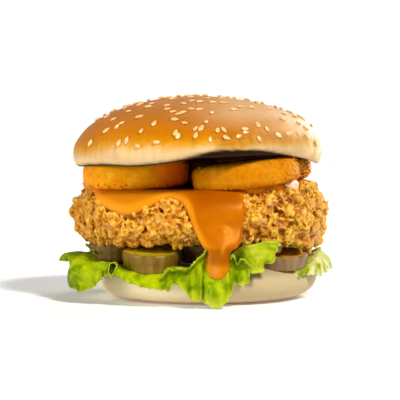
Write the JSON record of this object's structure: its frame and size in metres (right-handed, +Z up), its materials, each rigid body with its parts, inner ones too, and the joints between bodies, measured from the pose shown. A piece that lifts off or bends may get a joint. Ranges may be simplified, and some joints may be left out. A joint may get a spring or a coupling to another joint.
{
  "type": "chicken burger",
  "caption": "Fried chicken burger in a seeded bun, with a crumbed fillet, onion rings, orange sauce running down the front, gherkin slices and ruffled lettuce.",
  "frame": {"origin": "on the heel's flat underside, on the burger's upright axis", "axes": "+Z up through the layers, -Y the front where the sauce runs down, +X to the right seen from the front"},
  "size_m": [0.122, 0.1163, 0.0909],
  "materials": {
    "bun_crust": "glazed golden-brown crust",
    "bun_pale": "pale matt crust",
    "crumb_coating": "rough fried crumb",
    "ring_coating": "fine fried crumb",
    "orange_sauce": "wet gloss",
    "pickle_green": "wet satin",
    "lettuce_green": "thin satin leaf"
  },
  "bodies": {
    "root": {"bun_crown": "bun_crust", "bun_heel": "bun_pale", "chicken_fillet": "crumb_coating", "sauce": "orange_sauce", "onion_ring_left": "ring_coating", "onion_ring_right": "ring_coating", "onion_ring_back_left": "ring_coating", "onion_ring_back_right": "ring_coating", "pickle_left": "pickle_green", "pickle_front": "pickle_green", "pickle_middle": "pickle_green", "pickle_right": "pickle_green", "pickle_upper_right": "pickle_green", "pickle_back_left": "pickle_green", "pickle_back_right": "pickle_green", "lettuce_left": "lettuce_green", "lettuce_front_left": "lettuce_green", "lettuce_front": "lettuce_green", "lettuce_front_right": "lettuce_green", "lettuce_right": "lettuce_green", "lettuce_back_right": "lettuce_green", "lettuce_back_left": "lettuce_green"}
  },
  "joints": []
}
